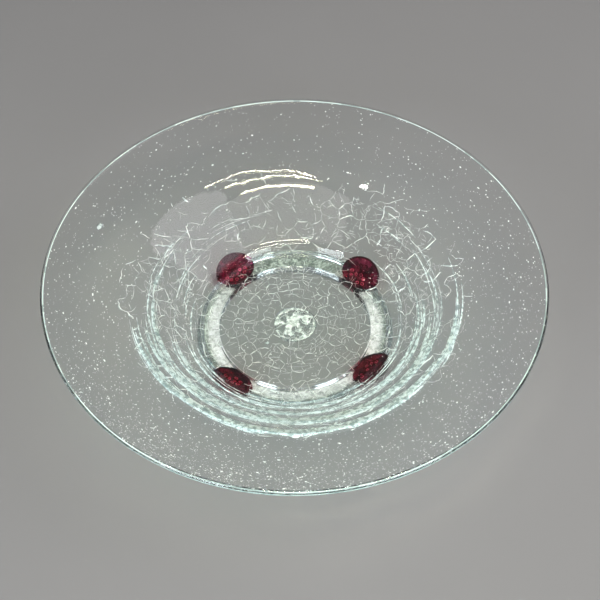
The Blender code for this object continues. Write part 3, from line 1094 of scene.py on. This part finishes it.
def make_scar(material):
    """A broken stub: a thick uneven lip round a torn middle."""
    rings, steps = 26, 96
    top = outside_height(0.0) + FUSED
    vertices = []
    for side in (0, 1):
        for i in range(rings + 1):
            reach = SCAR_RADIUS * i / rings
            for k in range(1 if i == 0 else steps):
                angle = TURN * k / steps
                wobble = 1.0 + 0.03 * math.sin(3 * angle + 1.0) - 0.03
                x, y = reach * math.cos(angle) * wobble, reach * math.sin(angle) * wobble
                thick = scar_thickness(x, y) if i < rings else SCAR_THICKNESS * 0.3
                vertices.append(Vector((x, y, top - (thick if side else 0.0))))
    faces = disc_faces(rings, steps)
    return add_object("pontil_break", vertices, faces, material)


def frosting(x, y):
    """Above 0 where the scar is frosted white: most of its lip, and torn swirls in the middle."""
    s = math.hypot(x, y) / SCAR_RADIUS
    swirl = math.atan2(y, x) + 5.0 * s
    lip = 0.5 * math.exp(-((s - 0.9) / 0.07) ** 2)
    middle = 0.75 * math.exp(-(s / 0.5) ** 2)
    torn = 0.9 * noise.fractal(Vector((x * 260, y * 260, 0.7)), 0.9, 2.1, 5)
    return middle + lip + torn + 0.16 * math.sin(swirl * 2) - 0.30


def make_scar_frost(material):
    """The white parts of the scar, as thin flakes under its surface."""
    step, flake = 0.3 * MM, 0.12 * MM
    top = outside_height(0.0) + FUSED
    count = int(SCAR_RADIUS / step)
    vertices, faces = [], []
    for i in range(-count, count):
        for j in range(-count, count):
            x, y = (i + 0.5) * step, (j + 0.5) * step
            if math.hypot(x, y) > 0.93 * SCAR_RADIUS or frosting(x, y) <= 0.0:
                continue
            base = len(vertices)
            for level in (0.35, 0.35 + flake / SCAR_THICKNESS):
                for dx, dy in ((-1, -1), (1, -1), (1, 1), (-1, 1)):
                    px, py = x + dx * step / 2, y + dy * step / 2
                    rough = 0.1 * MM * noise.noise(Vector((px * 900, py * 900, 2.0)))
                    depth = level * scar_thickness(px, py) + rough
                    vertices.append(Vector((px, py, top - max(depth, 0.03 * MM))))
            corners = [base + k for k in range(8)]
            faces += [tuple(corners[:4]), tuple(corners[7:3:-1])]
            for k in range(4):
                after = (k + 1) % 4
                faces.append((corners[k], corners[k + 4], corners[after + 4], corners[after]))
    return add_shards("pontil_frost", (vertices, faces), material)


# ---------------------------------------------------------------- studio

TUBE_LIGHT = (1.0, 0.94, 0.68)
CEILING_LIGHT = (1.0, 0.93, 0.97)
WINDOW_LIGHT = (1.0, 0.92, 1.0)
SOFTBOX_LIGHT = (0.87, 0.925, 1.0)
SOFT_STEPS = 8


def make_floor():
    corners = [Vector((x, y, 0.0)) for x, y in ((-6, -6), (6, -6), (6, 6), (-6, 6))]
    floor = add_object("studio_floor", corners, [(0, 1, 2, 3)], floor_paint(), smooth=False)
    floor.location.z = -0.05 * MM


def softbox(name, location, target, width, height, power, colour=(1.0, 1.0, 1.0), shape="RECTANGLE"):
    light = bpy.data.lights.new(name, "AREA")
    light.shape = shape
    light.size, light.size_y = width, height
    light.energy = power
    light.color = colour
    obj = bpy.data.objects.new(name, light)
    bpy.context.scene.collection.objects.link(obj)
    obj.location = location
    obj.rotation_euler = (Vector(target) - Vector(location)).to_track_quat("-Z", "Y").to_euler()


def make_lights():
    """Two softboxes in front, three tubes, a spot, and two sets of nested lamps with soft reflections."""
    world = bpy.data.worlds.new("studio")
    bpy.context.scene.world = world
    world.use_nodes = True
    background = world.node_tree.nodes["Background"]
    background.inputs["Color"].default_value = (0.92, 0.94, 1.0, 1.0)
    background.inputs["Strength"].default_value = 0.2
    tubes = (("a", 0.13, 0.016, 3.2), ("b", 0.31, 0.018, 3.6), ("c", 0.6, 0.044, 6.8))
    for name, back, width, power in tubes:
        softbox("tube_" + name, (0.165, -back, 1.35), (0.02, 0.09, 0.04), 0.8, width, power, TUBE_LIGHT)
    for i in range(SOFT_STEPS):
        share = 1.0 - 0.11 * i
        size, power = (2.3 * share, 0.55 * share), 2.1 * share ** 2
        softbox("ceiling", (0.06, -0.76, 1.2), (0, 0.08, 0.03), *size, power, CEILING_LIGHT, "ELLIPSE")
        size, power = (1.3 * share, 1.2 * share), 4.2 * share ** 2
        softbox("window", (1.14, -0.03, 1.2), (0, 0.05, 0.03), *size, power, WINDOW_LIGHT, "ELLIPSE")
    softbox("spot", (-0.5, -0.12, 1.3), (0.04, 0.09, 0.04), 0.09, 0.035, 0.9)
    softbox("key", (-1.15, -1.5, 0.8), (0, 0, 0.03), 0.9, 0.9, 25.5, SOFTBOX_LIGHT)
    softbox("fill", (1.15, -1.5, 0.8), (0, 0, 0.03), 0.9, 0.9, 24.5, SOFTBOX_LIGHT)


def make_camera():
    """At the front, 50 degrees above the rim's plane, and turned a little away from the rim's centre."""
    distance, elevation = 0.6, 0.8707
    pan, tilt = 0.0051, -0.0344
    place = Vector((0.0, -math.cos(elevation) * distance, math.sin(elevation) * distance))
    ahead = -place.normalized()
    right = Vector((1.0, 0.0, 0.0))
    ahead = (ahead + right * pan + right.cross(ahead) * tilt).normalized()
    camera = bpy.data.cameras.new("camera")
    camera.sensor_width = 36.0
    camera.lens = 60.57
    camera.clip_start = 0.01
    obj = bpy.data.objects.new("camera", camera)
    bpy.context.scene.collection.objects.link(obj)
    obj.location = place + Vector((0.0, 0.0, HEIGHT))
    obj.rotation_euler = ahead.to_track_quat("-Z", "Y").to_euler()
    bpy.context.scene.camera = obj


# ---------------------------------------------------------------- build

def settle_piece(obj, slot_name, *nodes):
    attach(obj, "root")
    if nodes:
        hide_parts(*nodes)


def main():
    settle_piece(make_body(clear_glass()), "clear_glass", "bowl_body")
    rim_light = white_shards("rim_light", 0.4, (0.42, 0.52, 0.50), (0.86, 0.96, 0.94), 40.0)
    settle_piece(make_rim_thread(rim_light), "clear_glass")
    for piece in make_cracks():
        settle_piece(piece, "clear_glass")
    # The seeds are opaque white specks: real bubbles drawn with painted highlights.
    seed_glint_paint = white_shards("seed_glint_white", 0.0, (0.9, 0.97, 0.96), (1.0, 1.0, 1.0), 300.0)
    settle_piece(make_seeds(seed_glint_paint), "clear_glass")
    blister_gas = white_shards("blister_gas", 0.8, (0.55, 0.62, 0.62), (0.95, 1.0, 1.0), 300.0)
    settle_piece(make_blisters(blister_gas), "clear_glass")
    ring, skin = make_ring(ring_glass(), ground_glass())
    settle_piece(ring, "ground_glass", "foot_ring")
    settle_piece(skin, "ground_glass")
    core = lathe("core", core_outline(-FUSED), 128, None)
    pale = amethyst_glass("amethyst_glass", PALE_DENSITY)
    deep = amethyst_glass("amethyst_glass_painted_shade", SHADED_PRUNT_DENSITY)
    for name, azimuth in PRUNTS.items():
        # The front pair takes the darker copy, as painted shade.
        colour = pale if "back" in name else deep
        settle_piece(make_prunt(name, azimuth, colour, core), "amethyst_glass", name)
    discard(core)
    glints = white_shards("caught_light", 0.0, (0.9, 0.25, 0.45), (1.0, 0.75, 0.88), 500.0)
    settle_piece(make_glints(glints), "amethyst_glass")
    settle_piece(make_scar(broken_glass()), "broken_glass", "pontil_scar")
    frost = white_shards("scar_frost", 0.2, (0.42, 0.45, 0.44), (1.0, 1.0, 1.0), 420.0)
    settle_piece(make_scar_frost(frost), "broken_glass")
    make_floor()
    make_lights()
    make_camera()
    bpy.context.scene.view_settings.view_transform = "Standard"


main()
